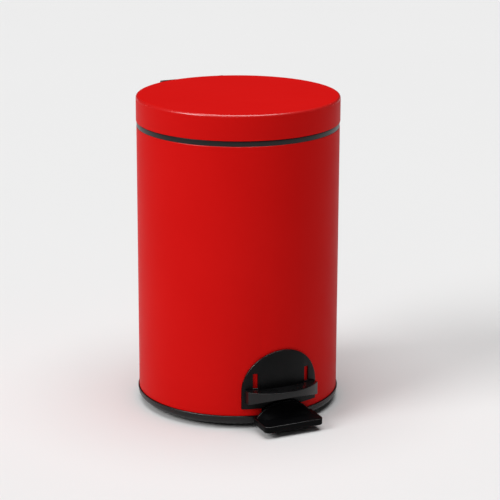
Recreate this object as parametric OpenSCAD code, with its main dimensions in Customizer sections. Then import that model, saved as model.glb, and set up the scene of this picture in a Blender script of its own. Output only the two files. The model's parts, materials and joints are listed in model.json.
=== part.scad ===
// Pedal-operated waste can: a round steel body and lid on a black plastic base,
// with a pedal lever, a push rod up the back wall and a lift-out bucket.
// The origin is on the can's axis at the floor, +Z up. The pedal points to -Y
// and the lid's hinge is at +Y.

/* [Body] */
// Outside diameter of the steel body
body_d = 250; // [248:1:252]
// Height of the body's lower edge above the floor
body_z0 = 16.7; // [16.5:0.1:17]
// Height of the body's upper edge above the floor
body_z1 = 351.5; // [351:0.1:352]
// Thickness of the steel sheet of the body and the lid
sheet_t = 0.8; // [0.6:0.1:0.9]

/* [Lid and rim] */
// Visible height of the black band between the body and the lid
band_h = 6.4; // [6:0.1:7]
// Gap between the band and the closed lid
lid_gap = 0.3; // [0.3:0.1:0.6]
// Height of the lid
lid_h = 31.4; // [31:0.1:32]
// Radius of the edge between the lid's top and its skirt
lid_edge_r = 2.4; // [2:0.1:3]
// Angle that the lid opens
lid_open = 75; // [60:1:75]

/* [Base] */
// Height of the rubber ring below the base
floor_ring_h = 4; // [4:0.5:5]
// Height of the deck's underside above the floor
deck_z0 = 44; // [44:0.5:45]
// Thickness of the deck
deck_t = 3.5; // [3:0.5:4]

/* [Pedal] */
// Width of the pedal's pad
pad_w = 78; // [70:1:82]
// Distance of the pad's front edge from the can's axis
pad_front = 162; // [160:1:163]
// Height of the tread's rear edge above the floor
pad_top = 17; // [16.5:0.1:17.5]
// Height of the pad's front lower edge above the floor
pad_z0 = 7.8; // [7.7:0.1:8.5]
// Distance of the lever's fulcrum from the can's axis
fulcrum_y = 82; // [80:1:84]
// Height of the fulcrum above the floor
fulcrum_z = 29; // [28.5:0.5:29.5]

/* [Guard] */
// Width of the guard plate
guard_w = 100; // [96:1:104]
// Height of the guard plate's lower edge above the floor
guard_z0 = 26; // [25:0.5:27]
// Height of the centre of the guard plate's round top
guard_zc = 48; // [47:0.5:50]
// Height of the hood's top above the floor
hood_top = 51; // [50:0.1:53]
// Distance of the hood's front from the can's axis
hood_front = 148.5; // [147:0.5:150]

/* [Hinge and push rod] */
// Distance of the lid's hinge axis from the can's axis
hinge_y = 132.5; // [132:0.1:133]
// Height of the lid's hinge axis above the floor
hinge_z = 368; // [367.5:0.1:368.5]
// Distance of the push rod from the can's axis
rod_y = 116.5; // [116:0.1:117]
// Diameter of the push rod's wire
rod_d = 4; // [3.6:0.1:4]

/* [Bucket] */
// Height of the bucket's rim above the floor
bucket_top = 343; // [335:1:343]
// Outside radius of the bucket's rim
bucket_rim_r = 106; // [104:0.5:106]
// Outside radius of the bucket's foot
bucket_foot_r = 98; // [96:0.5:98]
// Thickness of the bucket's wall
bucket_t = 1.8; // [1.5:0.1:2.2]

/* [Hidden] */
$fn = 96;

e = 0.01;               // how far a cutting solid runs past a face
fit = 0.1;              // gap between fixed parts that fit together
body_r = body_d / 2;
body_ri = body_r - sheet_t;
band_z1 = body_z1 + band_h;
lid_z0 = band_z1 + lid_gap;
lid_z1 = lid_z0 + lid_h;
lid_r = body_r + 0.5;
lid_ri = lid_r - sheet_t;
band_r = body_r - 0.2;
deck_z1 = deck_z0 + deck_t;

// base ring
lip_r = body_r + 1.5;   // the lip under the body's lower edge
flange_z1 = floor_ring_h + 3;
flange_ri = 92;
skirt_a = 12.2;         // half axes of the base ring's rounded lower edge
skirt_b = 8;
collar_ri = 121.5;
rim_ri = 118;           // inside of the rim's flange
buffer_at = [-150, -90, -30];
buffer_place_r = 120.2; // where the lid's buffers stand
buffer_r = 1.8;
post_r = 113;           // where the posts for the deck's screws stand
post_angles = [35, 145, 215, 325];

// pedal neck: an arch as wide as neck_w that passes under the hood
neck_w = 49;
neck_crown = 33.3;
neck_side = 25.9;       // height of the arch at its two sides
neck_z0 = 15.5;
neck_arch_r = (pow(neck_w / 2, 2) + pow(neck_crown - neck_side, 2))
              / (2 * (neck_crown - neck_side));
neck_gap = 1.6;         // room around the neck in the body and the guard
pad_rear = 123.5;       // distance of the pad's rear edge from the can's axis
pad_clear_r = 129.5;    // the pad stays outside this radius
pad_front_drop = 1.3;   // how far the tread falls towards its front
pad_rear_rise = 2.1;    // how far the pad's underside rises towards its rear
pad_corner_r = 6;
pad_taper = 5;          // the cut across each rear corner
pad_screw_y = -148;
pad_screw_x = [-8, 8];
pad_screw_z0 = 9.2;
// the neck's arched front, nearly as wide as the tread, that slopes down onto it
flare_half = 38.4;
flare_crown = 34.3;
flare_side = 13.5;
flare_back = 128.2;
flare_front = 141;
flare_r = (pow(flare_half, 2) + pow(flare_crown - flare_side, 2))
          / (2 * (flare_crown - flare_side));

// pedal lever: a steel strip
strip_w = 30;
strip_t = 3;
strip_z0 = 20;
pad_strip_z0 = 11.2;
pin_r = 3;
bush_r = 4;
tube_r = 5.2;

// guard
guard_r = body_r + 2.5;
guard_ri = body_r + fit;
hood_plan_r = 66;
hood_half = 47;
hood_t = 2;
hood_edge_r = 135;      // radius of the hood's arched lower edge
hood_edge_z = 43.5;     // its height at the middle
slot_x = 34.6;
slot_w = 6;
slot_z0 = 52.4;
slot_h = 18.5;
stud_at = [[-20, 78], [20, 78], [0, 60]];
stud_r = 2;

// lid hinge
hinge_pin_r = 2.5;
knuckle_r = 5;
cavity_r = 6.7;         // room for the fixed knuckles in the hinge cover
cover_w = 87;
cover_back = 8.5;       // from the axis to the cover's back
cover_top = 17.4;       // from the axis to the cover's top
arm_x = [20, 28];       // where the fixed arms lie on each side
plate_half = 34;        // the hinge bracket's plate on the body
plate_z0 = 322;
plate_z1 = 349;
plate_r = body_r + 3;
arm_back = hinge_y - 1; // the arms' rear face below the knuckles
bracket_screw_x = 11;
bracket_screw_z = [328, 337];
bracket_screw_at = [for (x = [-1, 1], z = bracket_screw_z) [x * bracket_screw_x, z]];
lid_screw_x = 13;
lid_screw_z = hinge_z + 13;

// fulcrum bracket
rivet_at = [for (x = [-13, 13], y = [-4, 4]) [x, y - fulcrum_y]];
cheek_x = [20, 23];     // where the bracket's cheeks lie on each side

// push rod and its slot in the lid's bracket
rod_r = rod_d / 2;
rod_top = hinge_z - 5;
rod_bottom = 13;
bend_r = 4;
hook_len = 14;
slot_a = [-15.6, -5.4]; // the slot's two end centres, from the hinge axis
slot_b = [-16.5, -12];
slot_r = 3.2;
guide_z = [90, 286];
guide_h = 14;
guide_rivet_x = [-12, 12];

// bucket and bail
bail_z = bucket_top - 12;
bail_r = 2;
bail_arc_r = 109.2;
bail_arc_y = -4;
boss_x1 = 105;
grip_r = 3.8;
grip_angle = 44;

red = [0.80, 0.09, 0.08];
black = [0.11, 0.11, 0.12];
rubber = [0.07, 0.07, 0.07];
steel = [0.70, 0.71, 0.72];
grey = [0.42, 0.43, 0.45];

// ---- helpers ----

// A cylinder along X from x0 to x1
module rod_x(r, x0, x1, y = 0, z = 0) {
  translate([x0, y, z]) rotate([0, 90, 0]) cylinder(r = r, h = x1 - x0);
}

// A cylinder along Y from y0 to y1
module rod_y(r, y0, y1, x = 0, z = 0) {
  translate([x, y0, z]) rotate([-90, 0, 0]) cylinder(r = r, h = y1 - y0);
}

// A box given by its low and high corners
module box(a, b) {
  translate(a) cube(b - a);
}

// A tube around the can's axis
module tube(r0, r1, z0, z1) {
  difference() {
    translate([0, 0, z0]) cylinder(r = r1, h = z1 - z0, $fn = 180);
    translate([0, 0, z0 - 1]) cylinder(r = r0, h = z1 - z0 + 2, $fn = 180);
  }
}

// An outline drawn in the Y-Z plane, extruded along X from x0 to x1
module side_prism(x0, x1) {
  translate([x0, 0, 0]) rotate([90, 0, 90]) linear_extrude(x1 - x0) children();
}

// A circle's arc as points, from angle a0 to a1
function arc(c, rx, ry, a0, a1, n) =
  [for (i = [0:n]) let (a = a0 + (a1 - a0) * i / n)
    [c[0] + rx * cos(a), c[1] + ry * sin(a)]];

// The neck's arched section, grown by g, from z0 up, in the X-Z plane
module neck_section(g, z0) {
  intersection() {
    translate([0, neck_crown - neck_arch_r]) circle(r = neck_arch_r + g);
    translate([-neck_w / 2 - g, z0]) square([neck_w + 2 * g, 40]);
  }
}

// The neck's section as a solid along Y
module neck_bar(g, z0, y0, y1) {
  translate([0, y1, 0]) rotate([90, 0, 0]) linear_extrude(y1 - y0)
    neck_section(g, z0);
}

// A screw with a domed head; its shank points up from the head
module screw_up(head_r, head_h, shank_r, shank_h) {
  cylinder(r = head_r, h = head_h);
  translate([0, 0, head_h - e]) cylinder(r = shank_r, h = shank_h + e);
}

// ---- fixed parts ----

module body_shell() {
  color(red) difference() {
    tube(body_ri, body_r, body_z0, body_z1);
    neck_bar(neck_gap, body_z0 - 1, -body_r - 5, -100);
    for (s = stud_at) rod_y(stud_r + 0.15, -body_r - 2, -100, s[0], s[1]);
    for (s = bracket_screw_at) rod_y(2.1, 100, body_r + 2, s[0], s[1]);
    for (z = guide_z, x = guide_rivet_x)
      rod_y(2.1, 100, body_r + 2, x, z + guide_h / 2);
  }
}

module rim_ring() {
  color(black) difference() {
    rotate_extrude($fn = 180) polygon(concat(
      [[body_ri - fit, body_z1 - 10], [body_ri - fit, body_z1 + fit],
       [band_r, body_z1 + fit]],
      arc([band_r - 0.8, band_z1 - 0.8], 0.8, 0.8, 0, 90, 4),
      [[rim_ri, band_z1], [rim_ri, band_z1 - 2.2], [body_ri - 2.4, band_z1 - 2.2],
       [body_ri - 2.4, body_z1 - 10]]));
    box([-17, 100, body_z1 - 11], [17, body_ri - 2.3, band_z1 + 1]);
  }
}

module base_ring() {
  color(black) difference() {
    union() {
      rotate_extrude($fn = 180) polygon(concat(
        [[flange_ri, floor_ring_h]],
        arc([body_r + 1 - skirt_a, floor_ring_h + skirt_b], skirt_a, skirt_b, -90, 0, 9),
        [[body_r + 1, body_z0 - 2.4], [lip_r, body_z0 - 2.1], [lip_r, body_z0 - 0.4],
         [lip_r - 0.3, body_z0 - fit], [body_ri - fit, body_z0 - fit],
         [body_ri - fit, deck_z0], [collar_ri, deck_z0], [collar_ri, 10],
         [collar_ri - 3, flange_z1], [flange_ri, flange_z1]]));
      for (a = post_angles) rotate(a) translate([post_r, 0, flange_z1 - 1])
        cylinder(r = 4.5, h = deck_z0 - flange_z1 + 1);
      for (a = post_angles) rotate(a)
        box([post_r, -1.5, flange_z1 - 1], [collar_ri + 0.5, 1.5, deck_z0 - 6]);
    }
    // way out for the neck
    box([-27, -body_r - 5, 8.5], [27, -105, deck_z0 - 3]);
    // room for the push rod's collars
    intersection() {
      box([-9, 100, flange_z1 + 2], [9, body_r, deck_z0 + 1]);
      cylinder(r = body_ri - fit + e, h = 60, $fn = 180);
    }
    for (a = post_angles) rotate(a) translate([post_r, 0, deck_z0 - 12])
      cylinder(r = 1.6, h = 13);
  }
}

module floor_ring() {
  color(rubber) rotate_extrude($fn = 180)
    polygon([[94.5, floor_ring_h], [95, 1], [96, 0], [101.5, 0], [102.5, 1],
             [103, floor_ring_h]]);
}

module base_deck() {
  color(black) difference() {
    union() {
      translate([0, 0, deck_z0]) cylinder(r = body_ri - fit, h = deck_t, $fn = 180);
      tube(bucket_foot_r + 1.5, bucket_foot_r + 3.5, deck_z1 - e, deck_z1 + 3);
    }
    box([-8, 108, deck_z0 - 1], [8, body_r, deck_z1 + 1]);
    for (a = post_angles) rotate(a) translate([post_r, 0, deck_z0 - 1])
      cylinder(r = 2.1, h = deck_t + 2);
    for (p = rivet_at) translate([p[0], p[1], deck_z0 - 1])
      cylinder(r = 2.05, h = deck_t + 2);
  }
}

module deck_screws() {
  color(steel) for (a = post_angles) rotate(a) translate([post_r, 0, 0]) {
    translate([0, 0, deck_z0 - 9]) cylinder(r = 1.55, h = deck_t + 9 + e);
    translate([0, 0, deck_z1]) cylinder(r1 = 3.6, r2 = 2.6, h = 1.8);
  }
}

// The D-shaped plate on the body with the hood over the pedal's neck
module pedal_guard() {
  color(black) difference() {
    union() {
      intersection() {
        union() {
          box([-guard_w / 2, -guard_r - 1, guard_z0], [guard_w / 2, -90, guard_zc]);
          rod_y(guard_w / 2, -guard_r - 1, -90, 0, guard_zc);
        }
        tube(guard_ri, guard_r, guard_z0 - 1, guard_zc + guard_w / 2 + 1);
      }
      hood();
      for (s = stud_at) rod_y(stud_r, -guard_r + 1, stud_end(s[0]), s[0], s[1]);
    }
    for (s = [-1, 1])
      box([s * slot_x - slot_w / 2, -guard_r - 2, slot_z0],
          [s * slot_x + slot_w / 2, -100, slot_z0 + slot_h]);
    neck_bar(neck_gap, guard_z0 - 5, -guard_r - 30, -100);
  }
}

// How far inwards a stud at x reaches, past the body's curved wall
function stud_end(x) = -sqrt(pow(body_ri, 2) - pow(abs(x) + 5, 2)) + 3;

module hood() {
  plan_y = hood_front - hood_plan_r;
  difference() {
    intersection() {
      translate([0, -plan_y, guard_z0]) cylinder(r = hood_plan_r, h = hood_top - guard_z0);
      box([-hood_half, -200, guard_z0], [hood_half, -80, hood_top]);
    }
    intersection() {
      translate([0, -plan_y, guard_z0 - 1])
        cylinder(r = hood_plan_r - hood_t, h = hood_top - guard_z0 + 1 - hood_t);
      box([-hood_half + hood_t, -200, guard_z0 - 1],
          [hood_half - hood_t, -80, hood_top - hood_t]);
      difference() {
        box([-60, -200, guard_z0 - 1], [60, -60, hood_top]);
        translate([0, 0, guard_z0 - 2]) cylinder(r = guard_r - e, h = 60, $fn = 180);
      }
    }
    translate([0, 0, guard_z0 - 2]) cylinder(r = guard_r - 1, h = 60, $fn = 180);
    difference() {
      rod_y(hood_edge_r, -200, -60, 0, hood_edge_z - hood_edge_r);
      translate([0, 0, guard_z0 - 20]) cylinder(r = guard_r - e, h = 90, $fn = 180);
    }
  }
}

module guard_washers() {
  color(steel) for (s = stud_at) {
    y = stud_end(s[0]) - 2.6;
    difference() {
      rod_y(5, y, y + 1, s[0], s[1]);
      rod_y(stud_r + 0.05, y - 1, y + 2, s[0], s[1]);
    }
  }
}

module fulcrum_bracket() {
  color(grey) difference() {
    union() {
      box([-23, -fulcrum_y - 11, deck_z0 - 2], [23, -fulcrum_y + 11, deck_z0]);
      for (c = [[-cheek_x[1], -cheek_x[0]], cheek_x]) side_prism(c[0], c[1]) {
        translate([-fulcrum_y, fulcrum_z]) circle(r = 7);
        translate([-fulcrum_y - 7, fulcrum_z]) square([14, deck_z0 - fulcrum_z - 1]);
      }
    }
    rod_x(pin_r + 0.02, -30, 30, -fulcrum_y, fulcrum_z);
    for (p = rivet_at) translate([p[0], p[1], deck_z0 - 3]) cylinder(r = 2.05, h = 4);
  }
}

module bracket_rivets() {
  color(steel) for (p = rivet_at) translate([p[0], p[1], 0]) {
    translate([0, 0, deck_z0 - 3.2]) cylinder(r1 = 2.4, r2 = 3.2, h = 1.2);
    translate([0, 0, deck_z0 - 2.1]) cylinder(r = 2, h = deck_t + 2.2);
    translate([0, 0, deck_z1]) cylinder(r1 = 3.2, r2 = 2.2, h = 1.3);
  }
}

module fulcrum_pin() {
  color(steel) union() {
    rod_x(pin_r, -23.4, 26, -fulcrum_y, fulcrum_z);
    rod_x(pin_r + 2.2, -25, -23.2, -fulcrum_y, fulcrum_z);
  }
}

module fulcrum_clip() {
  color(steel) difference() {
    rod_x(pin_r + 2, 23.4, 24.4, -fulcrum_y, fulcrum_z);
    rod_x(pin_r + 0.02, 23, 25, -fulcrum_y, fulcrum_z);
    box([23, -fulcrum_y - 1.6, fulcrum_z - 8], [25, -fulcrum_y + 1.6, fulcrum_z]);
  }
}

// A plastic guide on the body's back wall, its underside at z
module rod_guide(z) {
  color(black) difference() {
    intersection() {
      union() {
        box([-7, rod_y - 5, z], [7, body_r, z + guide_h]);
        box([-17, rod_y + 2.5, z], [17, body_r, z + guide_h]);
      }
      translate([0, 0, z - 1]) cylinder(r = body_ri - fit, h = guide_h + 2, $fn = 180);
    }
    translate([0, rod_y, z - 1]) cylinder(r = rod_r + 0.08, h = guide_h + 2);
    for (x = guide_rivet_x) rod_y(2.05, 100, body_r, x, z + guide_h / 2);
  }
}

module lower_rod_guide() {
  rod_guide(guide_z[0]);
}

module upper_rod_guide() {
  rod_guide(guide_z[1]);
}

module guide_rivets() {
  wall_y = sqrt(pow(body_r, 2) - pow(10, 2));
  color(steel) for (z = guide_z, x = guide_rivet_x) translate([x, 0, z + guide_h / 2]) {
    rod_y(2, rod_y + 1.5, wall_y + 0.4);
    translate([0, wall_y + 0.3, 0]) rotate([-90, 0, 0]) cylinder(r1 = 3.6, r2 = 2.4, h = 1.4);
    rod_y(3.2, rod_y + 1.2, rod_y + 2.4);
  }
}

// A plate on the body's back with two arms that carry the hinge pin
module hinge_bracket() {
  color(black) difference() {
    union() {
      intersection() {
        box([-plate_half, 100, plate_z0], [plate_half, 140, plate_z1]);
        tube(body_r + fit, plate_r, plate_z0, plate_z1);
      }
      for (a = [[-arm_x[1], -arm_x[0]], arm_x]) {
        side_prism(a[0], a[1])
          polygon([[body_r - 2.4, plate_z0 + 4], [body_r + 2, plate_z0],
                   [arm_back, plate_z0 + 10], [arm_back, hinge_z],
                   [hinge_y - knuckle_r + 0.2, hinge_z], [body_r + 2, plate_z1 + 5],
                   [body_r + 2, plate_z1 + 1], [body_r - 2.4, plate_z1]]);
        rod_x(knuckle_r, a[0], a[1], hinge_y, hinge_z);
      }
    }
    translate([0, 0, plate_z0 - 22]) cylinder(r = body_r + fit, h = 60, $fn = 180);
    rod_x(hinge_pin_r + 0.02, -40, 40, hinge_y, hinge_z);
    for (s = bracket_screw_at) rod_y(2.1, 100, 140, s[0], s[1]);
  }
}

module hinge_screws() {
  head_r = 3.6;
  head_y = sqrt(pow(plate_r, 2) - pow(bracket_screw_x - head_r, 2)) + e;
  color(steel) for (s = bracket_screw_at) translate([s[0], 0, s[1]]) {
    rod_y(2, 118.5, head_y + 0.1);
    translate([0, head_y, 0]) rotate([-90, 0, 0]) cylinder(r1 = head_r, r2 = 2.6, h = 1.8);
  }
}

module hinge_nuts() {
  color(steel) for (s = bracket_screw_at) translate([s[0], 0, s[1]]) difference() {
    rod_y(3.8, 120, 122.8, $fn = 6);
    rod_y(2.02, 119, 124);
  }
}

module hinge_pin() {
  color(steel) rod_x(hinge_pin_r, -cover_w / 2 + 0.5, cover_w / 2 - 0.5, hinge_y, hinge_z);
}

// ---- lid ----

module lid_shell() {
  edge_z = lid_z1 - 0.3 - lid_edge_r;
  color(red) difference() {
    rotate_extrude($fn = 180) polygon(concat(
      [[0, lid_z1]],
      arc([lid_r - lid_edge_r, edge_z], lid_edge_r, lid_edge_r, 90, 0, 8),
      [[lid_r, lid_z0], [lid_ri, lid_z0]],
      arc([lid_r - lid_edge_r, edge_z], lid_edge_r - sheet_t, lid_edge_r - sheet_t, 0, 90, 5),
      [[0, lid_z1 - sheet_t]]));
    for (x = [-lid_screw_x, lid_screw_x]) rod_y(2.05, 100, 140, x, lid_screw_z);
  }
}

module lid_ring() {
  color(black) difference() {
    rotate_extrude($fn = 180) polygon([
      [rim_ri + 0.2, lid_z0 + 0.8], [lid_ri - fit, lid_z0 + 0.8], [lid_ri - fit, lid_z0 + 14],
      [lid_ri - 2.2, lid_z0 + 14], [lid_ri - 2.2, lid_z0 + 3], [rim_ri + 0.2, lid_z0 + 3]]);
    box([-24, 100, lid_z0 - 1], [24, 130, lid_z0 + 20]);
    for (a = buffer_at) rotate(a) translate([buffer_place_r, 0, lid_z0 - 1])
      cylinder(r = buffer_r - 0.45, h = 6);
  }
}

module lid_buffers() {
  color(rubber) for (a = buffer_at) rotate(a) translate([buffer_place_r, 0, lid_z0]) {
    cylinder(r = buffer_r, h = 0.8);
    cylinder(r = buffer_r - 0.5, h = 3.4);
    translate([0, 0, 3]) cylinder(r = buffer_r - 0.1, h = 0.8);
  }
}

// A steel bracket inside the lid's skirt, with the slotted lug for the push rod
module lid_bracket() {
  plate_y0 = 120.4;
  color(grey) difference() {
    union() {
      box([-20, plate_y0, hinge_z + 6], [20, 122.5, hinge_z + 18]);
      side_prism(4.5, 7.5) translate([hinge_y, hinge_z]) hull() {
        translate(slot_b - [0.3, 0]) circle(r = slot_r + 2.2, $fn = 32);
        translate([-18.4, -4]) circle(r = 3.4, $fn = 32);
        translate([-11.1, -4]) circle(r = 1.6, $fn = 32);
        translate([-16.5, 16]) square([6.2, 2]);
      }
    }
    side_prism(3, 9) translate([hinge_y, hinge_z]) {
      translate(slot_a) circle(r = slot_r);
      translate(slot_b) circle(r = slot_r);
      polygon(concat(slot_side(90), slot_side(-90)));
    }
    for (x = [-lid_screw_x, lid_screw_x]) rod_y(2.05, 100, 140, x, lid_screw_z);
  }
}

// One straight side of the slot, turned by t from the slot's direction
function slot_side(t) =
  let (d = atan2(slot_b[1] - slot_a[1], slot_b[0] - slot_a[0]),
       n = slot_r * [cos(d + t), sin(d + t)])
  t > 0 ? [slot_a + n, slot_b + n] : [slot_b + n, slot_a + n];

// The black cover over the hinge; its cheeks turn on the hinge pin
module hinge_cover() {
  corner = 3;
  color(black) difference() {
    side_prism(-cover_w / 2, cover_w / 2) translate([hinge_y, hinge_z]) {
      polygon(concat(
        [[-20, -3], [-2, -knuckle_r], [knuckle_r, 0], [cover_back, 0.5]],
        arc([cover_back - corner, cover_top - corner], corner, corner, 0, 90, 6),
        [[-20, cover_top]]));
      circle(r = knuckle_r + 0.3);
    }
    translate([0, 0, 340]) cylinder(r = lid_r + fit, h = 60, $fn = 180);
    rod_x(hinge_pin_r + 0.06, -50, 50, hinge_y, hinge_z);
    rod_x(cavity_r, -29, 29, hinge_y, hinge_z);
    // way in for the fixed arms
    box([-29, 110, hinge_z - 10], [29, hinge_y + cavity_r - 1, hinge_z - 1]);
    for (x = [-lid_screw_x, lid_screw_x]) rod_y(1.7, 120, hinge_y + 4, x, lid_screw_z);
    // hollows above the cavity, with ribs left for the lid's screws
    box([-9, 120, hinge_z], [9, hinge_y + 5, hinge_z + 15]);
    for (s = [-1, 1]) box([s * 24 - 7, 120, hinge_z + 2], [s * 24 + 7, hinge_y + 5, hinge_z + 15]);
  }
}

module lid_screws() {
  color(steel) for (x = [-lid_screw_x, lid_screw_x]) translate([x, 0, lid_screw_z]) {
    translate([0, 118.6, 0]) rotate([-90, 0, 0]) cylinder(r1 = 2.6, r2 = 3.6, h = 1.8);
    rod_y(1.65, 120.3, hinge_y + 3);
  }
}

// ---- pedal ----

// The strip's outline seen from the side; g grows it
module strip_outline(g) {
  front = -pad_front + 4;
  polygon([[front - g, pad_strip_z0 - g], [-136 + g, pad_strip_z0 - g],
           [-126 + g, strip_z0 - g], [rod_y + 3, strip_z0 - g],
           [rod_y + 3, strip_z0 + strip_t + g], [-127.4 - g, strip_z0 + strip_t + g],
           [-137.4 - g, pad_strip_z0 + strip_t + g], [front - g, pad_strip_z0 + strip_t + g]]);
}

module pedal_lever() {
  color(grey) difference() {
    union() {
      side_prism(-strip_w / 2, strip_w / 2) strip_outline(0);
      rod_x(tube_r, -19, 19, -fulcrum_y, fulcrum_z);
      box([-strip_w / 2, -fulcrum_y - 4, strip_z0 + 1],
          [strip_w / 2, -fulcrum_y + 4, fulcrum_z]);
    }
    rod_x(bush_r + 0.02, -30, 30, -fulcrum_y, fulcrum_z);
    // the strip narrows to a fork around the push rod
    for (s = [-1, 1]) mirror([s > 0 ? 0 : 1, 0, 0]) translate([0, 0, strip_z0 - 1])
      linear_extrude(strip_t + 2) polygon([[8, 130], [8, 60], [16, 20], [30, 20], [30, 130]]);
    box([-rod_r - 0.8, rod_y - 5, strip_z0 - 1], [rod_r + 0.8, 130, strip_z0 + strip_t + 1]);
    for (x = pad_screw_x) translate([x, pad_screw_y, pad_strip_z0 - 1])
      cylinder(r = 1.75, h = 6);
  }
}

module pivot_bush() {
  color(rubber) difference() {
    rod_x(bush_r, -19.4, 19.4, -fulcrum_y, fulcrum_z);
    rod_x(pin_r + 0.06, -30, 30, -fulcrum_y, fulcrum_z);
  }
}

// The plastic tread with its arched neck
module pedal_pad() {
  half = pad_w / 2;
  side = -pad_rear - pad_taper;
  color(black) difference() {
    union() {
      difference() {
        intersection() {
          translate([0, 0, pad_z0 - 1]) linear_extrude(pad_top - pad_z0 + 2) polygon(concat(
            [[half - pad_taper, -pad_rear], [-half + pad_taper, -pad_rear], [-half, side]],
            arc([-half + pad_corner_r, -pad_front + pad_corner_r],
                pad_corner_r, pad_corner_r, 180, 270, 8),
            arc([half - pad_corner_r, -pad_front + pad_corner_r],
                pad_corner_r, pad_corner_r, 270, 360, 8),
            [[half, side]]));
          side_prism(-half - 1, half + 1)
            polygon([[-pad_front - 1, pad_z0], [-pad_front, pad_z0],
                     [-pad_rear, pad_z0 + pad_rear_rise], [-pad_rear + 1, pad_top],
                     [-pad_rear, pad_top], [-pad_front, pad_top - pad_front_drop],
                     [-pad_front - 1, pad_top - pad_front_drop]]);
        }
        cylinder(r = pad_clear_r, h = 60, $fn = 180);
      }
      hull() {
        translate([0, -flare_back, 0]) rotate([90, 0, 0]) linear_extrude(1.4)
          intersection() {
            translate([0, flare_crown - flare_r]) circle(r = flare_r, $fn = 64);
            translate([-flare_half, pad_z0 + 3]) square([2 * flare_half, 40]);
          }
        box([-flare_half, -flare_front, pad_z0 + 3],
            [flare_half, -flare_front + 1, pad_top - 0.9]);
      }
      neck_bar(0, neck_z0, -flare_back - 0.5, -112, $fn = 96);
    }
    neck_bar(-3, neck_z0 - 1, -126, -111);
    side_prism(-strip_w / 2 - fit, strip_w / 2 + fit) strip_outline(fit);
    side_prism(-neck_w / 2 + 3, neck_w / 2 - 3)
      polygon([[-126.5, neck_z0 - 2], [-110, neck_z0 - 2], [-110, neck_side - 3],
               [-126.5, neck_side - 3]]);
    for (x = pad_screw_x) translate([x, pad_screw_y, 0]) {
      cylinder(r = 1.7, h = 15.3);
      cylinder(r = 3.8, h = pad_strip_z0 + 0.5);
    }
  }
}

module pad_screws() {
  color(steel) for (x = pad_screw_x) translate([x, pad_screw_y, pad_screw_z0])
    screw_up(3.6, pad_strip_z0 - pad_screw_z0, 1.65, 3.6);
}

// ---- push rod ----

module push_rod() {
  color(steel) union() {
    translate([0, rod_y, rod_bottom]) cylinder(r = rod_r, h = rod_top - bend_r - rod_bottom);
    translate([bend_r, rod_y, rod_top - bend_r]) rotate([90, 0, 180])
      rotate_extrude(angle = 90) translate([bend_r, 0]) circle(r = rod_r);
    rod_x(rod_r, bend_r, hook_len, rod_y, rod_top);
  }
}

module rod_collars() {
  color(steel) for (z = [strip_z0 - 4.2, strip_z0 + strip_t + 1.2])
    translate([0, rod_y, z]) difference() {
      cylinder(r = 5.2, h = 3);
      translate([0, 0, -1]) cylinder(r = rod_r + 0.02, h = 5);
    }
}

module rod_clip() {
  color(black) difference() {
    rod_x(4, 9.5, 12.5, rod_y, rod_top);
    rod_x(rod_r + 0.02, 9, 13, rod_y, rod_top);
  }
}

// ---- bucket ----

module bucket() {
  foot_w = 4.5;
  floor_z = deck_z1 + 3;
  wall_r = bucket_rim_r - 1.8;
  color(grey) difference() {
    union() {
      rotate_extrude($fn = 180) polygon([
        [0, floor_z], [bucket_foot_r - foot_w, floor_z], [bucket_foot_r - foot_w + 0.6, deck_z1],
        [bucket_foot_r, deck_z1], [wall_r, bucket_top - 5], [bucket_rim_r, bucket_top - 5],
        [bucket_rim_r, bucket_top - 0.8], [bucket_rim_r - 0.8, bucket_top],
        [wall_r - bucket_t, bucket_top], [bucket_foot_r - bucket_t, floor_z + 2],
        [0, floor_z + 2]]);
      for (s = [-1, 1]) rod_x(5.5, s > 0 ? 101 : -boss_x1, s > 0 ? boss_x1 : -101, 0, bail_z);
      // rest under the folded bail
      box([-7, -112, bail_z - 8], [7, -bucket_rim_r + 3, bail_z - grip_r - 0.4]);
    }
    for (s = [-1, 1]) rod_x(bail_r + 0.08, s > 0 ? 95 : -115, s > 0 ? 115 : -95, 0, bail_z);
    // the bosses stop at the wall's inside
    translate([0, 0, floor_z + 2])
      cylinder(r1 = bucket_foot_r - bucket_t, r2 = wall_r - bucket_t,
               h = bucket_top - floor_z - 2 + e, $fn = 180);
  }
}

module bail() {
  color(steel) union() {
    for (s = [0, 1]) mirror([s, 0, 0]) {
      rod_x(bail_r, 100.2, bail_arc_r - bend_r, 0, bail_z);
      translate([bail_arc_r - bend_r, -bend_r, bail_z])
        rotate_extrude(angle = 90) translate([bend_r, 0]) circle(r = bail_r);
    }
    translate([0, bail_arc_y, bail_z]) rotate(180)
      rotate_extrude(angle = 180, $fn = 180) translate([bail_arc_r, 0]) circle(r = bail_r, $fn = 48);
  }
}

module bail_grip() {
  color(black) translate([0, bail_arc_y, bail_z]) rotate(270 - grip_angle / 2)
    rotate_extrude(angle = grip_angle, $fn = 180) translate([bail_arc_r, 0]) difference() {
      circle(r = grip_r, $fn = 48);
      circle(r = bail_r + 0.05, $fn = 48);
    }
}

body_shell();
rim_ring();
base_ring();
floor_ring();
base_deck();
deck_screws();
pedal_guard();
guard_washers();
fulcrum_bracket();
bracket_rivets();
fulcrum_pin();
fulcrum_clip();
lower_rod_guide();
upper_rod_guide();
guide_rivets();
hinge_bracket();
hinge_screws();
hinge_nuts();
hinge_pin();
lid_shell();
lid_ring();
lid_bracket();
hinge_cover();
lid_screws();
lid_buffers();
pedal_lever();
pedal_pad();
pad_screws();
pivot_bush();
push_rod();
rod_collars();
rod_clip();
bucket();
bail();
bail_grip();
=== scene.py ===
"""Looks for the pedal waste can: painted steel, moulded plastic, rubber and zinc-plated
hardware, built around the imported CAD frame. Sizes are in millimetres, as in the CAD."""

import json
import math

import bmesh
import bpy
from mathutils import Matrix, Vector


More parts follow.
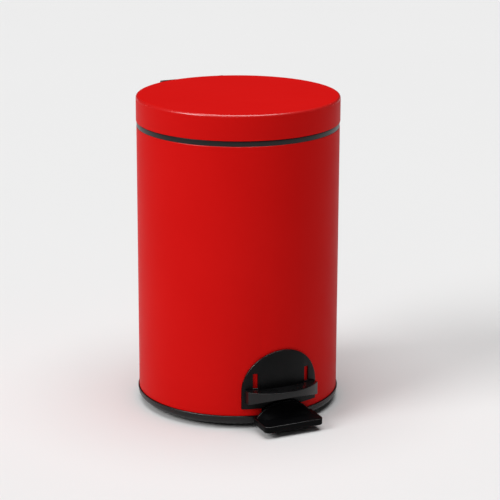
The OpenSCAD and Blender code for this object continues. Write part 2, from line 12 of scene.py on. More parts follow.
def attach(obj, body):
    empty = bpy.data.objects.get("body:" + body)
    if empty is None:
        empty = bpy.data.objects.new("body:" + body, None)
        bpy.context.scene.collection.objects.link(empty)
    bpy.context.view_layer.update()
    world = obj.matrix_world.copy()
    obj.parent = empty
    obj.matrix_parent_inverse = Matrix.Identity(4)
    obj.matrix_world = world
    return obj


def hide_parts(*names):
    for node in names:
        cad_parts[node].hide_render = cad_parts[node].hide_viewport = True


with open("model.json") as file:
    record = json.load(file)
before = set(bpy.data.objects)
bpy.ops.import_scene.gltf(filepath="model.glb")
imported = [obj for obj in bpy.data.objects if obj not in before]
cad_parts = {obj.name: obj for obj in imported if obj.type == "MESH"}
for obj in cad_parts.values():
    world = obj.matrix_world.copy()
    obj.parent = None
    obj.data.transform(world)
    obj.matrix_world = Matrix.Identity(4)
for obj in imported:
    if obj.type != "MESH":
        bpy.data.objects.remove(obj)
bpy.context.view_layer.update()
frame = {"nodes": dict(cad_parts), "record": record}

MM = 0.001
ROUND = 192                 # segments of the big round pieces

# driving sizes, as the CAD has them
BODY_R = 125.0
SHEET = 0.8
BODY_Z = (16.7, 351.5)
BAND_TOP = 357.9
LID_Z = (358.2, 389.6)
LID_R = 125.5
BUCKET_TOP = 343.0
DECK_TOP = 47.5
PLATE_R = 127.5             # outside of the guard's plate
SLEEVE_R = BODY_R - SHEET - 0.1     # outside of the plastic parts that fit in the body
POST_R = 113                # where the posts for the deck's screws stand
POST_ANGLES = (35, 145, 215, 325)


# ---------------------------------------------------------------- camera

CAMERA_AIM = (13.6, -6.6, 191.0)
CAMERA_AZIMUTH = -25.8
CAMERA_ELEVATION = 15.85
CAMERA_ROLL = 0.20
CAMERA_DISTANCE = 2468
CAMERA_LENS = 142.0


def add_camera():
    azimuth, elevation = math.radians(CAMERA_AZIMUTH), math.radians(CAMERA_ELEVATION)
    back = Vector((math.sin(azimuth) * math.cos(elevation),
                   -math.cos(azimuth) * math.cos(elevation),
                   math.sin(elevation)))
    data = bpy.data.cameras.new("camera")
    data.lens = CAMERA_LENS
    camera = bpy.data.objects.new("camera", data)
    bpy.context.scene.collection.objects.link(camera)
    turn = (-back).to_track_quat("-Z", "Y").to_matrix().to_4x4()
    roll = Matrix.Rotation(math.radians(CAMERA_ROLL), 4, "Z")
    place = Matrix.Translation((Vector(CAMERA_AIM) + back * CAMERA_DISTANCE) * MM)
    camera.matrix_world = place @ turn @ roll
    bpy.context.scene.camera = camera


# ---------------------------------------------------------------- materials

class Nodes:
    """A Principled material with helpers for its procedural inputs."""

    def __init__(self, name, colour, roughness, metallic=0.0):
        self.material = bpy.data.materials.new(name)
        self.material.use_nodes = True
        self.tree = self.material.node_tree
        self.shader = self.tree.nodes["Principled BSDF"]
        self.shader.inputs["Base Color"].default_value = (*colour, 1)
        self.shader.inputs["Roughness"].default_value = roughness
        self.shader.inputs["Metallic"].default_value = metallic
        self.place = self.new("ShaderNodeTexCoord").outputs["Object"]

    def new(self, kind, **values):
        node = self.tree.nodes.new(kind)
        for name, value in values.items():
            setattr(node, name, value)
        return node

    def link(self, a, b):
        self.tree.links.new(a, b)

    def stretched(self, scale):
        node = self.new("ShaderNodeMapping")
        node.inputs["Scale"].default_value = scale
        self.link(self.place, node.inputs["Vector"])
        return node.outputs["Vector"]

    def noise(self, scale, detail=3.0, rough=0.5, place=None):
        node = self.new("ShaderNodeTexNoise")
        node.inputs["Scale"].default_value = scale
        node.inputs["Detail"].default_value = detail
        node.inputs["Roughness"].default_value = rough
        self.link(place or self.place, node.inputs["Vector"])
        return node.outputs["Fac"]

    def cells(self, scale, feature="F1", place=None):
        node = self.new("ShaderNodeTexVoronoi", feature=feature)
        node.inputs["Scale"].default_value = scale
        self.link(place or self.place, node.inputs["Vector"])
        return node.outputs["Distance"]

    def ramp(self, source, low, high, start=0.3, end=0.7):
        """Maps source from start..end to low..high."""
        node = self.new("ShaderNodeMapRange")
        for key, value in (("From Min", start), ("From Max", end),
                           ("To Min", low), ("To Max", high)):
            node.inputs[key].default_value = value
        self.link(source, node.inputs["Value"])
        return node.outputs["Result"]

    def blend(self, factor, a, b):
        node = self.new("ShaderNodeMix", data_type="RGBA")
        node.inputs[6].default_value = (*a, 1)
        node.inputs[7].default_value = (*b, 1)
        self.link(factor, node.inputs[0])
        return node.outputs[2]

    def colour(self, source):
        self.link(source, self.shader.inputs["Base Color"])

    def roughness(self, source):
        self.link(source, self.shader.inputs["Roughness"])

    def bump(self, *layers):
        """Each layer is (height source, strength, depth in mm)."""
        previous = None
        for height, strength, depth in layers:
            node = self.new("ShaderNodeBump")
            node.inputs["Strength"].default_value = strength
            node.inputs["Distance"].default_value = depth * MM
            self.link(height, node.inputs["Height"])
            if previous:
                self.link(previous, node.inputs["Normal"])
            previous = node.outputs["Normal"]
        self.link(previous, self.shader.inputs["Normal"])


def red_paint(name="red_paint", level=0.03, low=0.42, high=0.46):
    m = Nodes(name, (0.62, 0.006, 0.005), 0.34)
    m.colour(m.blend(m.ramp(m.noise(9), 0, 1), (0.63, 0.0052, 0.0044), (0.65, 0.0062, 0.0052)))
    m.roughness(m.ramp(m.noise(38, 5), low, high))
    m.shader.inputs["Specular IOR Level"].default_value = level
    m.bump((m.noise(420, 2), 0.04, 0.08), (m.noise(1700, 2), 0.06, 0.03))
    return m.material


def inner_paint():
    m = Nodes("inner_paint", (0.42, 0.010, 0.008), 0.5)
    m.colour(m.blend(m.ramp(m.noise(14), 0, 1), (0.36, 0.008, 0.006), (0.46, 0.012, 0.009)))
    m.bump((m.noise(600, 2), 0.15, 0.1))
    return m.material


def black_plastic(name="black_plastic", level=0.34, low=0.30, high=0.38):
    m = Nodes(name, (0.0025, 0.0025, 0.003), 0.33)
    m.colour(m.blend(m.ramp(m.noise(60, 4), 0, 1), (0.0020, 0.0020, 0.0023), (0.0032, 0.0032, 0.0036)))
    m.shader.inputs["Specular IOR Level"].default_value = level
    m.roughness(m.ramp(m.noise(90, 4), low, high))
    m.bump((m.cells(1500), 0.12, 0.03), (m.noise(260, 2), 0.04, 0.08))
    return m.material


def rubber():
    m = Nodes("rubber", (0.012, 0.012, 0.012), 0.85)
    m.roughness(m.ramp(m.noise(150, 4), 0.75, 0.92))
    m.bump((m.noise(900, 3), 0.3, 0.08))
    return m.material


def zinc():
    m = Nodes("zinc", (0.52, 0.53, 0.52), 0.38, 1.0)
    flakes = m.cells(260, "SMOOTH_F1")
    m.colour(m.blend(m.ramp(flakes, 0, 1, 0.0, 0.9), (0.46, 0.47, 0.47), (0.62, 0.62, 0.60)))
    m.roughness(m.ramp(m.noise(120, 4), 0.30, 0.50))
    m.bump((m.noise(800, 3), 0.12, 0.03))
    return m.material


def bright_steel():
    m = Nodes("bright_steel", (0.64, 0.64, 0.63), 0.24, 1.0)
    drawn = m.noise(120, 3, place=m.stretched((14, 14, 1)))
    m.roughness(m.ramp(drawn, 0.18, 0.34))
    m.bump((drawn, 0.10, 0.03))
    return m.material


def bucket_plastic():
    m = Nodes("bucket_plastic", (0.035, 0.036, 0.038), 0.5)
    scuffs = m.noise(26, 6, 0.7, m.stretched((1, 1, 0.25)))
    m.colour(m.blend(m.ramp(scuffs, 0, 1, 0.45, 0.75), (0.030, 0.031, 0.033), (0.052, 0.053, 0.056)))
    m.roughness(m.ramp(scuffs, 0.42, 0.62))
    m.bump((m.noise(700, 2), 0.12, 0.05))
    return m.material


def nylon():
    m = Nodes("nylon", (0.72, 0.70, 0.64), 0.45)
    m.roughness(m.ramp(m.noise(200, 3), 0.38, 0.55))
    m.bump((m.noise(900, 2), 0.1, 0.03))
    return m.material


MATERIALS = {
    "red_paint": red_paint(),
    "black_plastic": black_plastic(),
    "rubber": rubber(),
    "zinc_steel": zinc(),
    "bright_steel": bright_steel(),
    "grey_plastic": bucket_plastic(),
    "nylon": nylon(),
}
INNER_PAINT = inner_paint()
# The two copies with specular level 1.0 (red paint and black plastic) are painted highlights: they go
# only on upward-leaning edge faces so those catch the top light.
HIGHLIGHT_PAINT = red_paint("red_paint_highlight", 1.0, 0.24, 0.28)
MATT_PLASTIC = black_plastic("black_plastic_matt", 0.13, 0.36, 0.44)
TREAD_PLASTIC = black_plastic("black_plastic_tread", 0.05, 0.36, 0.44)
HIGHLIGHT_PLASTIC = black_plastic("black_plastic_highlight", 1.0, 0.24, 0.32)


# ---------------------------------------------------------------- mesh helpers

def smooth(piece, angle=35):
    """Smooth shading with sharp edges over the given angle."""
    for face in piece.data.polygons:
        face.use_smooth = True
    piece.data.set_sharp_from_angle(angle=math.radians(angle))


def make(name, bm, body=None, slot=None, replaces=(), angle=35):
    """A piece from a bmesh drawn in millimetres."""
    bmesh.ops.dissolve_degenerate(bm, edges=bm.edges, dist=0.003)
    bmesh.ops.scale(bm, vec=(MM, MM, MM), verts=bm.verts)
    bmesh.ops.recalc_face_normals(bm, faces=bm.faces)
    mesh = bpy.data.meshes.new(name)
    bm.to_mesh(mesh)
    bm.free()
    piece = bpy.data.objects.new(name, mesh)
    bpy.context.scene.collection.objects.link(piece)
    smooth(piece, angle)
    if slot:
        piece.data.materials.append(MATERIALS[slot])
    if body:
        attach(piece, body)
    if replaces:
        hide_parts(*replaces)
    return piece


def bake_modifiers(piece, angle=35):
    """Puts the modifiers' result in the piece's own mesh."""
    graph = bpy.context.evaluated_depsgraph_get()
    result = bpy.data.meshes.new_from_object(piece.evaluated_get(graph))
    clean = bmesh.new()
    clean.from_mesh(result)
    bmesh.ops.dissolve_degenerate(clean, edges=clean.edges, dist=0.003 * MM)
    clean.to_mesh(result)
    clean.free()
    piece.modifiers.clear()
    piece.data = result
    smooth(piece, angle)


def highlight_edges(piece, material, low=0.2, high=0.95):
    """Painted highlight: gives the faces whose normals lean up between the two a glossier copy of the
    material, so they catch the top light.
    """
    piece.data.materials.append(material)
    last = len(piece.data.materials) - 1
    for face in piece.data.polygons:
        if low < face.normal.z < high:
            face.material_index = last


def boolean(piece, tools, operation="DIFFERENCE"):
    for tool in tools:
        modifier = piece.modifiers.new("boolean", "BOOLEAN")
        modifier.operation = operation
        modifier.solver = "EXACT"
        modifier.use_self = operation == "UNION"
        modifier.object = tool
        bake_modifiers(piece)
        bpy.data.objects.remove(tool)
    return piece


def bevel(piece, width, segments=3, angle=30, bake=True):
    modifier = piece.modifiers.new("bevel", "BEVEL")
    modifier.width = width * MM
    modifier.segments = segments
    modifier.limit_method = "ANGLE"
    modifier.angle_limit = math.radians(angle)
    modifier.harden_normals = False
    if bake:
        bake_modifiers(piece, 45)
    return piece


def rounded(corners, steps=5):
    """A closed outline from corners (a, b) or (a, b, radius), with arcs at the radii."""
    points = []
    count = len(corners)
    for i, corner in enumerate(corners):
        here = Vector(corner[:2])
        radius = corner[2] if len(corner) > 2 else 0
        before = (Vector(corners[i - 1][:2]) - here).normalized()
        after = (Vector(corners[(i + 1) % count][:2]) - here).normalized()
        half = before.angle(after, 0) / 2
        if radius <= 0 or half < 0.05 or half > 1.53:
            points.append(tuple(here))
            continue
        reach = radius / math.tan(half)
        centre = here + (before + after).normalized() * (radius / math.sin(half))
        start, end = here + before * reach - centre, here + after * reach - centre
        sweep = start.angle(end)
        turn = 1 if start.x * end.y - start.y * end.x > 0 else -1
        for k in range(steps + 1):
            a = turn * sweep * k / steps
            points.append((centre.x + start.x * math.cos(a) - start.y * math.sin(a),
                           centre.y + start.x * math.sin(a) + start.y * math.cos(a)))
    return points


def arc(cx, cy, rx, ry, start, end, steps):
    return [(cx + rx * math.cos(math.radians(start + (end - start) * k / steps)),
             cy + ry * math.sin(math.radians(start + (end - start) * k / steps)))
            for k in range(steps + 1)]


def lathe(outline, segments=ROUND):
    """A solid of revolution about Z from a closed outline of (radius, height)."""
    bm = bmesh.new()
    rings = []
    for r, z in outline:
        if r < 1e-6:
            rings.append([bm.verts.new((0, 0, z))])
            continue
        rings.append([bm.verts.new((r * math.cos(2 * math.pi * k / segments),
                                    r * math.sin(2 * math.pi * k / segments), z))
                      for k in range(segments)])
    count = len(rings)
    for i in range(count):
        a, b = rings[i], rings[(i + 1) % count]
        if len(a) == 1 and len(b) == 1:
            continue
        for k in range(segments):
            n = (k + 1) % segments
            corners = ([a[0]] if len(a) == 1 else [a[k], a[n]])
            corners += ([b[0]] if len(b) == 1 else [b[n], b[k]])
            bm.faces.new(corners)
    return bm


def prism(outline, low, high, axis="Z"):
    """A closed outline extruded from low to high. The outline is (y, z) for axis X,
    (x, z) for axis Y and (x, y) for axis Z."""
    place = {"X": lambda a, b, h: (h, a, b),
             "Y": lambda a, b, h: (a, h, b),
             "Z": lambda a, b, h: (a, b, h)}[axis]
    bm = bmesh.new()
    ends = [[bm.verts.new(place(a, b, h)) for a, b in outline] for h in (low, high)]
    bm.faces.new(ends[0])
    bm.faces.new(ends[1])
    for k in range(len(outline)):
        n = (k + 1) % len(outline)
        bm.faces.new((ends[0][k], ends[0][n], ends[1][n], ends[1][k]))
    bmesh.ops.recalc_face_normals(bm, faces=bm.faces)
    return bm


def disc(radius, low, high, x=0.0, y=0.0, axis="Z", segments=48):
    """A round bar, used as a cutter or a boss."""
    return prism(arc(x, y, radius, radius, 0, 360 - 360 / segments, segments - 1), low, high, axis)


def joined(*parts):
    """Several bmeshes as one, each part still its own closed solid."""
    whole = bmesh.new()
    for part in parts:
        mesh = bpy.data.meshes.new("part")
        part.to_mesh(mesh)
        part.free()
        whole.from_mesh(mesh)
        bpy.data.meshes.remove(mesh)
    return whole


def block(low, high):
    return prism([(low[0], low[1]), (high[0], low[1]), (high[0], high[1]), (low[0], high[1])],
                 low[2], high[2])


def cutter(bm):
    return make("cutter", bm)


# ---------------------------------------------------------------- body, rim and base

NECK_HALF = 24.5
NECK_CROWN = 33.3
NECK_SIDE = 25.9
NECK_GAP = 1.6
NECK_ARCH_R = (NECK_HALF ** 2 + (NECK_CROWN - NECK_SIDE) ** 2) / (2 * (NECK_CROWN - NECK_SIDE))


def neck_outline(grow, bottom, steps=16):
    """The arched section of the pedal's neck as (x, z) points."""
    half, radius = NECK_HALF + grow, NECK_ARCH_R + grow
    spread = math.degrees(math.asin(half / radius))
    top = arc(0, NECK_CROWN - NECK_ARCH_R, radius, radius, 90 - spread, 90 + spread, steps)
    return [(-half, bottom), (half, bottom)] + top


def make_body():
    """The sheet body, with the neck's doorway and a duller paint inside."""
    inner = BODY_R - SHEET
    outline = rounded([(inner, BODY_Z[0], 0.15), (BODY_R, BODY_Z[0], 0.55),
                       (BODY_R, BODY_Z[1], 0.65), (inner, BODY_Z[1], 0.1)], 4)
    body = make("body", lathe(outline), "can", "red_paint", ["body_shell"])
    boolean(body, [cutter(prism(neck_outline(NECK_GAP, 5), -140, -100, "Y"))])
    body.data.materials.append(INNER_PAINT)
    for face in body.data.polygons:
        centre = face.center.to_2d()
        if face.normal.to_2d().dot(centre) < 0 and abs(face.normal.z) < 0.5:
            face.material_index = 1
    # painted highlight: the body's upward-leaning faces, its rounded top edge among them, get the
    # glossier copy of the paint
    highlight_edges(body, HIGHLIGHT_PAINT)
    return body


RIM_MOUTH_R = 118
BAND_R = BODY_R - 0.2


def make_rim():
    """The black band on the body, with a sleeve inside that is cut away for the push rod."""
    low, wall = BODY_Z[1], 2.3
    foot, under = low - 10, BAND_TOP - 2.2
    outline = rounded([(SLEEVE_R, foot, 0.4), (SLEEVE_R, low + 0.1), (BAND_R, low + 0.1, 0.4),
                       (BAND_R, BAND_TOP, 0.8), (RIM_MOUTH_R, BAND_TOP, 0.5),
                       (RIM_MOUTH_R, under, 0.4), (SLEEVE_R - wall, under, 0.8),
                       (SLEEVE_R - wall, foot, 0.4)])
    rim = make("rim", lathe(outline), "can", "black_plastic", ["rim_ring"])
    rod_room = block((-17, 100, foot - 1), (17, SLEEVE_R - 2.2, BAND_TOP + 1))
    return boolean(rim, [cutter(rod_room)])


def make_seam():
    """The body's lapped seam, a thin raised strip up the back."""
    angle, step_angle, end_gap = 62, 0.9, 1.5
    strip = []
    for radius, step in ((BODY_R + 0.28, 1), (BODY_R - 0.2, -1)):
        for k in range(5)[::step]:
            a = math.radians(angle + (k - 2) * step_angle)
            strip.append((radius * math.cos(a), radius * math.sin(a)))
    bm = prism(strip, BODY_Z[0] + end_gap, BODY_Z[1] - end_gap)
    seam = make("body_seam", bm, "can", "red_paint")
    bevel(seam, 0.2, 2)
    return seam


BASE_LIP_R = BODY_R + 1.5
BASE_SLEEVE = (121.5, 44)   # inside radius and top of the sleeve in the body
BASE_FLOOR = (92, 4, 7)     # inside radius, underside and top of the flange


def make_base():
    """The base, with a way out for the neck, one for the push rod, and the deck's posts."""
    low = BODY_Z[0]
    (sleeve_ri, top), (floor_ri, under, floor) = BASE_SLEEVE, BASE_FLOOR
    outline = [(floor_ri, floor), (floor_ri, under)]
    outline += arc(113.8, under + 8, 12.2, 8, -90, 0, 14)
    outline += rounded([(BODY_R + 1, low - 2.4), (BASE_LIP_R, low - 2.0),
                        (BASE_LIP_R, low - 0.1, 0.6), (SLEEVE_R, low - 0.1),
                        (SLEEVE_R, top, 0.4), (sleeve_ri, top, 0.4),
                        (sleeve_ri, floor + 3, 2), (sleeve_ri - 3, floor)])
    base = make("base", lathe(outline), "can", "black_plastic", ["base_ring"])
    neck_way = block((-27, -130, 8.5), (27, -105, 41))
    rod_way = block((-9, 100, 9), (9, SLEEVE_R, 45))
    boolean(base, [cutter(neck_way), cutter(rod_way)])
    posts = []
    for angle in POST_ANGLES:
        turn = Matrix.Rotation(math.radians(angle), 3, "Z")
        post = joined(disc(4.5, floor - 0.5, top, POST_R, 0),
                      block((POST_R, -1.5, floor - 0.5), (122, 1.5, 38)))
        bmesh.ops.rotate(post, cent=(0, 0, 0), matrix=turn, verts=post.verts)
        posts.append(cutter(post))
    boolean(base, posts, "UNION")
    # painted highlight: the base's upward-leaning faces, the lip's top edge among them, get the
    # glossier copy of the plastic
    highlight_edges(base, HIGHLIGHT_PLASTIC, 0.3, 0.97)
    return base


def make_lid():
    """The lid, a flat top very slightly domed, with a rounded edge and a deep skirt."""
    inner = LID_R - SHEET
    top = LID_Z[1]
    outline = [(0, top), (60, top - 0.05)]
    outline += rounded([(117, top - 0.2), (LID_R, top - 0.3, 3.0), (LID_R, LID_Z[0], 0.35),
                        (inner, LID_Z[0], 0.2), (inner, top - 1.1, 1.6), (117, top - 1.0)], 8)
    outline += [(0, top - SHEET)]
    lid = make("lid", lathe(outline), "lid", "red_paint", ["lid_shell"])
    # painted highlight: the lid's rounded upper edge faces get the glossier copy of the paint
    highlight_edges(lid, HIGHLIGHT_PAINT, 0.1, 0.97)
    return lid


# ---------------------------------------------------------------- pedal and guard

PAD_HALF = 39
PAD_FRONT = -162
PAD_REAR = -123.5
PAD_FRONT_Z = (7.8, 15.7)
PAD_REAR_Z = (9.9, 17.0)
PAD_CLEAR_R = 129.5
PAD_SCREWS = ((-8, -148), (8, -148))
FLARE_HALF = 38.4           # the neck's front, nearly as wide as the tread
FLARE_CROWN = 34.3
FLARE_SIDE = 13.5
FLARE_FLOOR = 10.8
FLARE_TURN = -130.8         # where its top has turned down into the slope
FLARE_STEPS = 32
TREAD_Z = 16.1              # where the slope ends, inside the tread


def flare_ring(y, fall):
    """The arched section of the neck's front at y, fallen by a share of its height."""
    crown = FLARE_CROWN + (TREAD_Z - FLARE_CROWN) * fall
    side = FLARE_SIDE + 2 * fall
    radius = (FLARE_HALF ** 2 + (crown - side) ** 2) / (2 * (crown - side))
    spread = math.degrees(math.asin(FLARE_HALF / radius))
    top = arc(0, crown - radius, radius, radius, 90 - spread, 90 + spread, FLARE_STEPS)
    section = [(-FLARE_HALF, FLARE_FLOOR), (FLARE_HALF, FLARE_FLOOR)] + top
    return [(x, y, z) for x, z in section]


def make_flare():
    """The neck's arched front as its own solid, with a glossier strip where its top turns down, a
    painted highlight line.
    """
    turn = [(-128.2, 0), (-129.1, 0), (-129.6, 0.012), (-130.0, 0.035), (-130.4, 0.065),
            (FLARE_TURN, 0.10)]
    slope = [(FLARE_TURN - 10.2 * k / 6, 0.1 + 0.9 * k / 6) for k in range(1, 7)]
    flare = make("flare", loft([flare_ring(*step) for step in turn + slope]))
    flare.data.materials.append(TREAD_PLASTIC)
    flare.data.materials.append(HIGHLIGHT_PLASTIC)
    columns = FLARE_STEPS + 3
    # painted highlight: the rows where the top turns down get the glossier plastic so they show a
    # bright line
    for face in flare.data.polygons:
        if 1 <= face.index // columns < len(turn) - 1:
            face.material_index = 1
    return flare


def loft(rings):
    """A solid through rings that have the same number of points."""
    bm = bmesh.new()
    rows = [[bm.verts.new(point) for point in ring] for ring in rings]
    for a, b in zip(rows, rows[1:]):
        for k in range(len(a)):
            n = (k + 1) % len(a)
            bm.faces.new((a[k], a[n], b[n], b[k]))
    bm.faces.new(rows[0])
    bm.faces.new(rows[-1])
    bmesh.ops.recalc_face_normals(bm, faces=bm.faces)
    return bm


def make_pad():
    """The tread, a slab that falls to its front, joined to the neck behind it."""
    taper, corner = 5, 6
    plan = rounded([(-PAD_HALF, PAD_REAR - taper, 1), (-PAD_HALF, PAD_FRONT, corner),
                    (PAD_HALF, PAD_FRONT, corner), (PAD_HALF, PAD_REAR - taper, 1),
                    (PAD_HALF - taper, PAD_REAR), (-PAD_HALF + taper, PAD_REAR)], 10)
    slab = prism(plan, 0, 1)
    for vertex in slab.verts:
        back = (vertex.co.y - PAD_FRONT) / (PAD_REAR - PAD_FRONT)
        side = round(vertex.co.z)
        vertex.co.z = PAD_FRONT_Z[side] + (PAD_REAR_Z[side] - PAD_FRONT_Z[side]) * back
    pad = make("pad", slab, "pedal", "black_plastic", ["pedal_pad"])
    boolean(pad, [cutter(disc(PAD_CLEAR_R, 0, 30, segments=256))])
    bevel(pad, 1.8, 4)
    pad.data.materials[0] = TREAD_PLASTIC
    # painted highlight: the tread's upward-leaning edge faces get the glossier copy of the plastic
    highlight_edges(pad, HIGHLIGHT_PLASTIC, 0.25, 0.95)
    neck = cutter(prism(neck_outline(0, 15.5), -128.7, -112, "Y"))
    boolean(pad, [make_flare(), neck], "UNION")
    cutters = [cutter(prism(neck_outline(-3, 5), -126, -100, "Y"))]
    cutters += [cutter(disc(3.8, 0, 11.7, x, y)) for x, y in PAD_SCREWS]
    boolean(pad, cutters)
    return pad


GUARD_HALF = 50
GUARD_Z = (26, 48)          # lower edge, and the centre of the round top
SLOT = (34.4, 3, 52.4, 70.9)    # centre, half width, lower and upper edge
HOOD_HALF = 47
HOOD_PLAN = (-82.5, 66)     # centre and radius of its front
HOOD_TOP = 51
HOOD_EDGE = (43.5, 135)     # crown and radius of its arched lower edge
HOOD_WALL = 2
STUDS = ((-20, 78), (20, 78), (0, 60))


def hood_solid(inset, low, high, name):
    """The hood's outside, or with an inset the room inside it."""
    half = HOOD_HALF - inset
    centre, radius = HOOD_PLAN[0], HOOD_PLAN[1] - inset
    spread = math.degrees(math.asin(half / radius))
    front = arc(0, centre, radius, radius, 270 - spread, 270 + spread, 40)
    plan = [(half, -100), (-half, -100)] + front
    return make(name, prism(plan, low, high))


def wrap(bm, radius):
    """Bends a flat plate, whose front is at y = 0, round the can's axis."""
    for k in range(-24, 25):
        bmesh.ops.bisect_plane(bm, geom=bm.verts[:] + bm.edges[:] + bm.faces[:],
                               plane_co=(2.05 * k, 0, 0), plane_no=(1, 0, 0))
    for vertex in bm.verts:
        x, depth = vertex.co.x, vertex.co.y
        vertex.co.y = -math.sqrt((radius - depth) ** 2 - x * x)


def add_solid(piece, other):
    """Adds another piece's solid to this one, and removes the other."""
    whole = bmesh.new()
    whole.from_mesh(piece.data)
    whole.from_mesh(other.data)
    whole.to_mesh(piece.data)
    whole.free()
    bpy.data.objects.remove(other)


def stud_end(x):
    """How far back the stud at x reaches, just through the body's sheet."""
    return -math.sqrt((BODY_R - SHEET) ** 2 - (abs(x) + 5) ** 2) + 3


def make_guard():
    """The D-shaped plate with its two slots, the hood and the studs behind it."""
    depth = PLATE_R - BODY_R - 0.1
    outline = [(-GUARD_HALF, GUARD_Z[0]), (GUARD_HALF, GUARD_Z[0])]
    outline += arc(0, GUARD_Z[1], GUARD_HALF, GUARD_HALF, 0, 180, 60)
    flat = make("flat", prism(outline, 0, depth, "Y"))
    cutters = [cutter(prism(neck_outline(NECK_GAP, 5), -9, 9, "Y"))]
    for side in (-1, 1):
        low, high = side * SLOT[0] - SLOT[1], side * SLOT[0] + SLOT[1]
        cutters.append(cutter(prism([(low, SLOT[2]), (high, SLOT[2]), (high, SLOT[3]),
                                     (low, SLOT[3])], -9, 9, "Y")))
    boolean(flat, cutters)
    bevel(flat, 0.8, 3, 50)
    bent = bmesh.new()
    bent.from_mesh(flat.data)
    bmesh.ops.scale(bent, vec=(1 / MM, 1 / MM, 1 / MM), verts=bent.verts)
    wrap(bent, PLATE_R)
    bpy.data.objects.remove(flat)
    guard = make("guard", bent, "can", "black_plastic", ["pedal_guard"])

    hood = hood_solid(0, 20, HOOD_TOP, "hood")
    crown, radius = HOOD_EDGE
    spread = math.degrees(math.asin(60 / radius))
    below = arc(0, crown - radius, radius, radius, 90 - spread, 90 + spread, 60) + [(-60, 0), (60, 0)]
    boolean(hood, [cutter(prism(below, -200, -90, "Y"))])
    bevel(hood, 2.1, 5, 50)
    boolean(hood, [hood_solid(HOOD_WALL, 0, HOOD_TOP - HOOD_WALL, "room"),
                   cutter(disc(PLATE_R - 0.8, 0, 90, segments=256))])
    for face in hood.data.polygons:
        face.material_index = 1
    add_solid(guard, hood)
    for x, z in STUDS:
        add_solid(guard, make("stud", disc(2, -125.6, stud_end(x), x, z, "Y", 32)))
    smooth(guard)
    guard.data.materials[0] = MATT_PLASTIC
    guard.data.materials.append(MATERIALS["black_plastic"])
    # painted highlight: the guard's upward-leaning faces, the hood's edge and flat top among them, get
    # the glossier copy of the plastic
    highlight_edges(guard, HIGHLIGHT_PLASTIC, 0.25, 1.01)
    return guard


# ---------------------------------------------------------------- bucket

def make_bucket():
    """The tapered bucket with its rim, the bail's two ears and a rest for the bail."""
    wall, foot, rim = 1.8, 98.0, 106.0
    ear_z = BUCKET_TOP - 12
    floor = DECK_TOP + 3
    wall_top = rim - 1.8
    outline = [(0, floor)]
    outline += rounded([(foot - 4.5, floor, 0.8), (foot - 3.9, DECK_TOP, 0.3), (foot, DECK_TOP, 1.0),
                        (wall_top, BUCKET_TOP - 5, 0.6), (rim, BUCKET_TOP - 5, 0.6),
                        (rim, BUCKET_TOP, 1.1), (wall_top - wall, BUCKET_TOP, 0.8),
                        (foot - wall, floor + 2, 2.5)], 5)
    outline += [(0, floor + 2)]
    bucket = make("bucket_visual", lathe(outline), "bucket", "grey_plastic", ["bucket"])
    parts = []
    for side in (-1, 1):
        ends = sorted((side * 102.6, side * 105))
        parts.append(cutter(disc(5.5, *ends, 0, ear_z, "X", 40)))
    rest = cutter(block((-7, -112, BUCKET_TOP - 20), (7, -rim + 3, BUCKET_TOP - 16.2)))
    bevel(rest, 0.8, 2)
    boolean(bucket, parts + [rest], "UNION")
    holes = [disc(2.08, *ends, 0, ear_z, "X", 24) for ends in ((-115, -95), (95, 115))]
    return boolean(bucket, [cutter(hole) for hole in holes])


# ---------------------------------------------------------------- screws and rivets

def fastener(head, shank, cross=0.0):
    """A screw or rivet along +Z with its head's seat at 0. head is (radius, height) and
    shank (radius, length); a third shank entry, start, is not used. cross is the half length of a
    cross recess."""
    radius, height = head
    dome = [(0, height)] + [(radius * math.sin(math.radians(a)),
                             height * (0.25 + 0.75 * math.cos(math.radians(a))))
                            for a in range(12, 91, 13)] + [(radius, 0), (0, 0)]
    dome = [p for k, p in enumerate(dome) if k == 0 or p != dome[k - 1]]
    bm = lathe(dome, 32)
    bar = lathe([(0, 0.1), (shank[0], 0.1), (shank[0], -shank[1]), (0, -shank[1])], 24)
    piece = make("fastener", bm)
    boolean(piece, [cutter(bar)], "UNION")
    if cross:
        deep = height * 0.45
        boolean(piece, [cutter(block((-cross, -0.45, deep), (cross, 0.45, height + 1))),
                        cutter(block((-0.45, -cross, deep), (0.45, cross, height + 1)))])
    return piece


def place_fasteners(name, body, node, head, shank, cross, matrices):
    """Copies of one fastener as one piece that stands for a CAD node."""
    model = fastener(head, shank, cross)
    whole = bmesh.new()
    for matrix in matrices:
        mesh = model.data.copy()
        mesh.transform(Matrix.Scale(1 / MM, 4))
        mesh.transform(matrix)
        whole.from_mesh(mesh)
        bpy.data.meshes.remove(mesh)
    bpy.data.objects.remove(model)
    return make(name, whole, body, "zinc_steel", [node], angle=30)


def facing(x, y, z, direction, twist=0):
    """A place at (x, y, z) with the fastener's head towards the direction."""
    turn = Vector(direction).to_track_quat("Z", "Y").to_matrix().to_4x4()
    return Matrix.Translation((x, y, z)) @ turn @ Matrix.Rotation(math.radians(twist), 4, "Z")


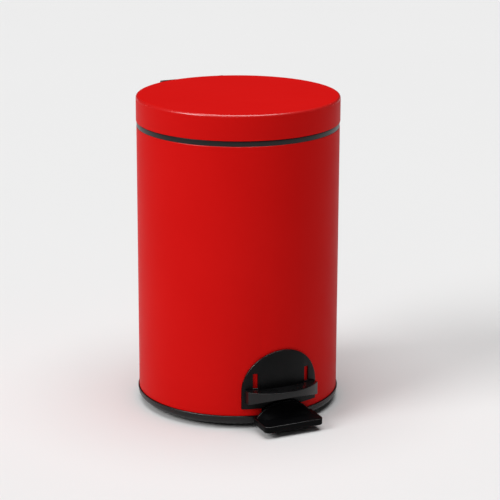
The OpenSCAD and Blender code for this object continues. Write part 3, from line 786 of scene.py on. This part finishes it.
def make_fasteners():
    """The deck's, the hinge bracket's and the tread's screws."""
    deck = []
    for k, angle in enumerate(POST_ANGLES):
        a = math.radians(angle)
        x, y = POST_R * math.cos(a), POST_R * math.sin(a)
        deck.append(facing(x, y, DECK_TOP, (0, 0, 1), 20 + 31 * k))
    place_fasteners("deck_screw_set", "can", "deck_screws", (3.5, 1.8), (1.55, 12.5), 1.9, deck)
    seat = math.sqrt((BODY_R + 3) ** 2 - 7.4 ** 2) + 0.01
    hinge = [facing(x, seat, z, (0, 1, 0), 12 + 25 * k) for k, (x, z) in
             enumerate(((-11, 328), (11, 328), (-11, 337), (11, 337)))]
    place_fasteners("hinge_screw_set", "can", "hinge_screws", (3.5, 1.8), (2, 9.2), 2.0, hinge)
    pad = [facing(x, y, 11.2, (0, 0, -1), 30 * k) for k, (x, y) in enumerate(PAD_SCREWS)]
    place_fasteners("pad_screw_set", "pedal", "pad_screws", (3.5, 2.0), (1.65, 3.6), 2.0, pad)


# ---------------------------------------------------------------- CAD nodes that stay

EDGE_WIDTHS = {"hinge_cover": 0.7, "hinge_bracket": 0.35, "pedal_lever": 0.4, "lid_bracket": 0.25}


def finish_cad_nodes():
    """Gives each CAD node that stays its material, and those listed in EDGE_WIDTHS slightly rounded
    edges.
    """
    slots = {s["node"]: s["material_slot"] for s in frame["record"]["subparts"]}
    for name, node in frame["nodes"].items():
        node.data.materials.clear()
        node.data.materials.append(MATERIALS[slots[name]])
        for face in node.data.polygons:
            face.material_index = 0
        smooth(node, 30)
        if name in EDGE_WIDTHS:
            bevel(node, EDGE_WIDTHS[name], 2, 40, bake=False)


# ---------------------------------------------------------------- stage

def add_stage():
    bm = bmesh.new()
    bmesh.ops.create_grid(bm, x_segments=1, y_segments=1, size=14000)
    floor = make("floor", bm)
    pale = Nodes("floor", (0.80, 0.80, 0.80), 0.9)
    pale.colour(pale.blend(pale.noise(2), (0.795, 0.795, 0.795), (0.805, 0.805, 0.805)))
    floor.data.materials.append(pale.material)


def add_light(name, azimuth, elevation, spread, strength):
    """A soft light as wide as spread degrees, from the azimuth and elevation."""
    data = bpy.data.lights.new(name, "SUN")
    data.angle = math.radians(spread)
    data.energy = strength
    light = bpy.data.objects.new(name, data)
    bpy.context.scene.collection.objects.link(light)
    a, e = math.radians(azimuth), math.radians(elevation)
    source = Vector((math.sin(a) * math.cos(e), -math.cos(a) * math.cos(e), math.sin(e)))
    light.rotation_euler = (-source).to_track_quat("-Z", "Y").to_euler()


def add_lights():
    bpy.context.scene.view_settings.view_transform = "Standard"
    world = bpy.data.worlds.new("studio")
    bpy.context.scene.world = world
    world.use_nodes = True
    background = world.node_tree.nodes["Background"]
    background.inputs["Color"].default_value = (1, 1, 1, 1)
    background.inputs["Strength"].default_value = 0.04
    add_light("key", -85, 35, 30, 1.62)
    add_light("front", -45, 30, 30, 0.12)
    add_light("top", 0, 88, 54, 2.3)


# ---------------------------------------------------------------- scene

add_camera()
finish_cad_nodes()
make_body()
make_seam()
make_rim()
make_base()
make_lid()
make_pad()
make_guard()
make_bucket()
make_fasteners()
add_stage()
add_lights()
